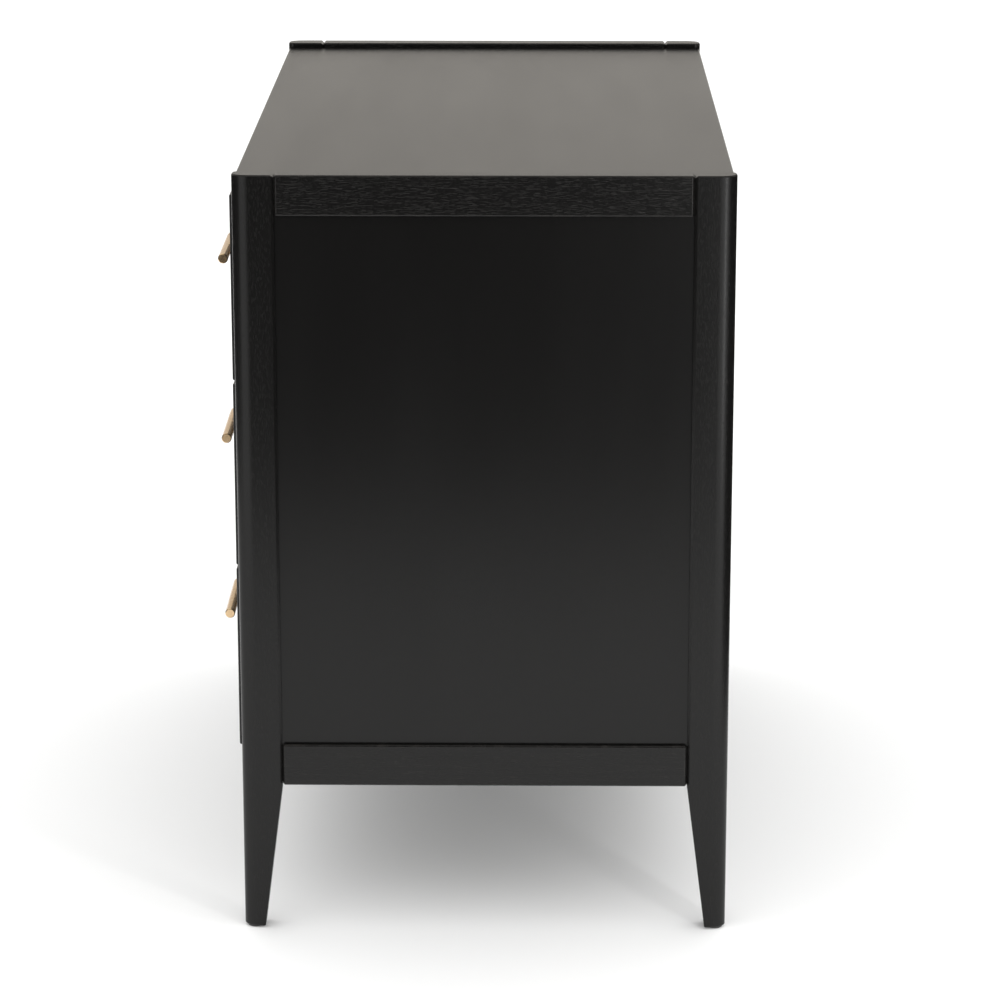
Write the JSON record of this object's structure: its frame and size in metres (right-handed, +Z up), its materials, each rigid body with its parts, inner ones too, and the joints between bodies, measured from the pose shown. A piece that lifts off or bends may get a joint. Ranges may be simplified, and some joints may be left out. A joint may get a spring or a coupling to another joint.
{
  "type": "nightstand",
  "caption": "Wide nightstand: frame-and-panel sides on tapered legs, inset drawers on ball-bearing slides, round bar pulls, and a top set just below the side frames.",
  "frame": {"origin": "on the floor, under the middle of the whole object's plan, pulls included", "axes": "+Z up; -Y out of the front, the way the drawers open; +X to the viewer's right"},
  "size_m": [0.68, 0.4242, 0.638],
  "materials": {
    "black_stained_wood": "satin",
    "pale_drawer_wood": "matte lacquer",
    "brushed_brass": "fine brushed, lacquered",
    "zinc_plated_steel": "zinc plated",
    "cage_steel": "greased",
    "glide_nylon": "matte"
  },
  "bodies": {
    "cabinet": {"leg_front_left": "black_stained_wood", "leg_back_left": "black_stained_wood", "side_rail_top_left": "black_stained_wood", "side_rail_bottom_left": "black_stained_wood", "side_panel_left": "black_stained_wood", "slide_board_left": "black_stained_wood", "leg_front_right": "black_stained_wood", "leg_back_right": "black_stained_wood", "side_rail_top_right": "black_stained_wood", "side_rail_bottom_right": "black_stained_wood", "side_panel_right": "black_stained_wood", "slide_board_right": "black_stained_wood", "top_panel": "black_stained_wood", "bottom_panel": "black_stained_wood", "back_panel": "black_stained_wood", "front_rail": "black_stained_wood", "foot_glides": "glide_nylon", "slide_cabinet_member_1_left": "zinc_plated_steel", "slide_cabinet_member_1_right": "zinc_plated_steel", "slide_cabinet_member_2_left": "zinc_plated_steel", "slide_cabinet_member_2_right": "zinc_plated_steel", "slide_cabinet_member_3_left": "zinc_plated_steel", "slide_cabinet_member_3_right": "zinc_plated_steel"},
    "drawer_1": {"drawer_front_1": "black_stained_wood", "drawer_side_1_left": "pale_drawer_wood", "drawer_side_1_right": "pale_drawer_wood", "drawer_back_1": "pale_drawer_wood", "drawer_floor_1": "pale_drawer_wood", "pull_1_left": "brushed_brass", "pull_1_right": "brushed_brass", "pull_screws_1": "zinc_plated_steel", "slide_drawer_member_1_left": "zinc_plated_steel", "slide_drawer_member_1_right": "zinc_plated_steel"},
    "ball_cages_1": {"slide_cage_1_left": "cage_steel", "slide_cage_1_right": "cage_steel"},
    "drawer_2": {"drawer_front_2": "black_stained_wood", "drawer_side_2_left": "pale_drawer_wood", "drawer_side_2_right": "pale_drawer_wood", "drawer_back_2": "pale_drawer_wood", "drawer_floor_2": "pale_drawer_wood", "pull_2_left": "brushed_brass", "pull_2_right": "brushed_brass", "pull_screws_2": "zinc_plated_steel", "slide_drawer_member_2_left": "zinc_plated_steel", "slide_drawer_member_2_right": "zinc_plated_steel"},
    "ball_cages_2": {"slide_cage_2_left": "cage_steel", "slide_cage_2_right": "cage_steel"},
    "drawer_3": {"drawer_front_3": "black_stained_wood", "drawer_side_3_left": "pale_drawer_wood", "drawer_side_3_right": "pale_drawer_wood", "drawer_back_3": "pale_drawer_wood", "drawer_floor_3": "pale_drawer_wood", "pull_3_left": "brushed_brass", "pull_3_right": "brushed_brass", "pull_screws_3": "zinc_plated_steel", "slide_drawer_member_3_left": "zinc_plated_steel", "slide_drawer_member_3_right": "zinc_plated_steel"},
    "ball_cages_3": {"slide_cage_3_left": "cage_steel", "slide_cage_3_right": "cage_steel"}
  },
  "joints": [
    {"name": "drawer_1_slide", "type": "slide", "parent": "cabinet", "child": "drawer_1", "axis": [0, -1, 0], "range_m": [0, 0.25]},
    {"name": "ball_cages_1_slide", "type": "slide", "parent": "cabinet", "child": "ball_cages_1", "axis": [0, -1, 0], "range_m": [0, 0.125]},
    {"name": "drawer_2_slide", "type": "slide", "parent": "cabinet", "child": "drawer_2", "axis": [0, -1, 0], "range_m": [0, 0.25]},
    {"name": "ball_cages_2_slide", "type": "slide", "parent": "cabinet", "child": "ball_cages_2", "axis": [0, -1, 0], "range_m": [0, 0.125]},
    {"name": "drawer_3_slide", "type": "slide", "parent": "cabinet", "child": "drawer_3", "axis": [0, -1, 0], "range_m": [0, 0.25]},
    {"name": "ball_cages_3_slide", "type": "slide", "parent": "cabinet", "child": "ball_cages_3", "axis": [0, -1, 0], "range_m": [0, 0.125]}
  ],
  "couplings": [
    {"joint": "ball_cages_1_slide", "follows": "drawer_1_slide", "ratio": 0.5},
    {"joint": "ball_cages_2_slide", "follows": "drawer_2_slide", "ratio": 0.5},
    {"joint": "ball_cages_3_slide", "follows": "drawer_3_slide", "ratio": 0.5}
  ]
}
